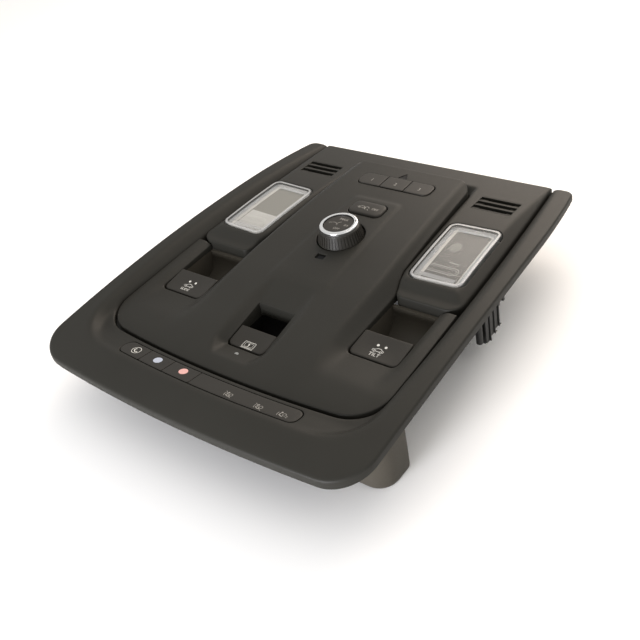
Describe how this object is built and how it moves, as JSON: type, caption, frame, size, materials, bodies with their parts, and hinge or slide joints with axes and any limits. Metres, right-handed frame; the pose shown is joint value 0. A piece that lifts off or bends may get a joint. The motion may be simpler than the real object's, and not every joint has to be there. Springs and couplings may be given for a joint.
{
  "type": "overhead console",
  "caption": "Vehicle roof console with moulded bezel, push-on map lamps, sunroof and sunshade rockers in finger wells, transmitter buttons, a turning mode knob and a bowed front row.",
  "frame": {"origin": "middle of the footprint, on the plane on which the console's housings rest", "axes": "+X towards the tilt rocker, +Y from the windscreen edge to the rear edge, +Z out of the face"},
  "size_m": [0.2606, 0.2985, 0.0651],
  "materials": {
    "grained_plastic": "fine moulded grain",
    "switch_plastic": "satin",
    "housing_plastic": "plain moulded",
    "black_plastic": "plain moulded",
    "clear_lens": "clear with fine ribs",
    "reflector_plastic": "satin white",
    "bright_ring": "polished",
    "circuit_board": "lacquered",
    "light_source": "glossy",
    "mat_rubber": "matt",
    "steel": "plain",
    "spring_steel": "bright"
  },
  "bodies": {
    "console": {"bezel_frame": "grained_plastic", "lamp_panel": "grained_plastic", "centre_panel": "grained_plastic", "indicator_panel": "switch_plastic", "right_switch_housing": "housing_plastic", "left_switch_housing": "housing_plastic", "sunshade_switch_housing": "housing_plastic", "right_lamp_housing": "housing_plastic", "left_lamp_housing": "housing_plastic", "centre_module_housing": "housing_plastic", "front_module_housing": "housing_plastic", "right_side_bracket": "black_plastic", "left_side_bracket": "black_plastic", "encoder": "black_plastic", "centre_connector": "black_plastic", "right_connector": "black_plastic", "left_connector": "black_plastic", "front_connector": "black_plastic", "right_microphone": "black_plastic", "left_microphone": "black_plastic", "transmitter_window": "clear_lens", "sensor_window": "clear_lens", "right_lamp_reflector": "reflector_plastic", "left_lamp_reflector": "reflector_plastic", "right_lamp_board": "circuit_board", "left_lamp_board": "circuit_board", "right_switch_board": "circuit_board", "left_switch_board": "circuit_board", "sunshade_switch_board": "circuit_board", "centre_module_board": "circuit_board", "front_module_board": "circuit_board", "right_lamp_led": "light_source", "left_lamp_led": "light_source", "button_mat": "mat_rubber", "front_mat": "mat_rubber", "right_rocker_pin": "steel", "left_rocker_pin": "steel", "sunshade_rocker_pin": "steel", "housing_screws": "steel", "spring_clips": "spring_steel"},
    "right_lens": {"right_lamp_lens": "clear_lens"},
    "left_lens": {"left_lamp_lens": "clear_lens"},
    "button_1": {"transmitter_button_1": "switch_plastic"},
    "button_2": {"transmitter_button_2": "switch_plastic"},
    "button_3": {"transmitter_button_3": "switch_plastic"},
    "override": {"tailgate_override_button": "switch_plastic"},
    "knob": {"mode_knob": "switch_plastic", "mode_knob_ring": "bright_ring"},
    "knob_cap": {"mode_knob_cap": "switch_plastic"},
    "right_sunroof": {"right_rocker": "switch_plastic"},
    "left_sunroof": {"left_rocker": "switch_plastic"},
    "sunshade": {"sunshade_rocker": "switch_plastic"},
    "call": {"call_button": "switch_plastic"},
    "blue_dot": {"blue_dot_button": "switch_plastic"},
    "red_dot": {"red_dot_button": "switch_plastic"}
  },
  "joints": [
    {"name": "right_lens_press", "type": "slide", "parent": "console", "child": "right_lens", "axis": [0, 0, -1], "range_m": [0, 0.0015], "stiffness_N_per_m": 800, "springref_m": -0.0005},
    {"name": "left_lens_press", "type": "slide", "parent": "console", "child": "left_lens", "axis": [0, 0, -1], "range_m": [0, 0.0015], "stiffness_N_per_m": 800, "springref_m": -0.0005},
    {"name": "button_1_press", "type": "slide", "parent": "console", "child": "button_1", "axis": [0, 0, -1], "range_m": [0, 0.0012], "stiffness_N_per_m": 800, "springref_m": -0.0005},
    {"name": "button_2_press", "type": "slide", "parent": "console", "child": "button_2", "axis": [0, 0, -1], "range_m": [0, 0.0012], "stiffness_N_per_m": 800, "springref_m": -0.0005},
    {"name": "button_3_press", "type": "slide", "parent": "console", "child": "button_3", "axis": [0, 0, -1], "range_m": [0, 0.0012], "stiffness_N_per_m": 800, "springref_m": -0.0005},
    {"name": "override_press", "type": "slide", "parent": "console", "child": "override", "axis": [0, 0, -1], "range_m": [0, 0.0012], "stiffness_N_per_m": 800, "springref_m": -0.0005},
    {"name": "mode_turn", "type": "hinge", "parent": "console", "child": "knob", "pos_m": [0, 0.031, 0.06], "axis": [0, 0, 1], "range_deg": [-90, 0]},
    {"name": "knob_cap_press", "type": "slide", "parent": "console", "child": "knob_cap", "axis": [0, 0, -1], "range_m": [0, 0.001], "stiffness_N_per_m": 800, "springref_m": -0.0005},
    {"name": "right_sunroof_rock", "type": "hinge", "parent": "console", "child": "right_sunroof", "pos_m": [0, -0.045, 0.0335], "axis": [1, 0, 0], "range_deg": [-6, 6], "stiffness_Nm_per_rad": 0.5},
    {"name": "left_sunroof_rock", "type": "hinge", "parent": "console", "child": "left_sunroof", "pos_m": [0, -0.045, 0.0335], "axis": [1, 0, 0], "range_deg": [-6, 6], "stiffness_Nm_per_rad": 0.5},
    {"name": "sunshade_rock", "type": "hinge", "parent": "console", "child": "sunshade", "pos_m": [0, -0.0715, 0.0316], "axis": [1, 0, 0], "range_deg": [-6, 6], "stiffness_Nm_per_rad": 0.5},
    {"name": "call_press", "type": "slide", "parent": "console", "child": "call", "axis": [0, 0, -1], "range_m": [0, 0.001], "stiffness_N_per_m": 800, "springref_m": -0.0005},
    {"name": "blue_dot_press", "type": "slide", "parent": "console", "child": "blue_dot", "axis": [0, 0, -1], "range_m": [0, 0.001], "stiffness_N_per_m": 800, "springref_m": -0.0005},
    {"name": "red_dot_press", "type": "slide", "parent": "console", "child": "red_dot", "axis": [0, 0, -1], "range_m": [0, 0.001], "stiffness_N_per_m": 800, "springref_m": -0.0005}
  ]
}
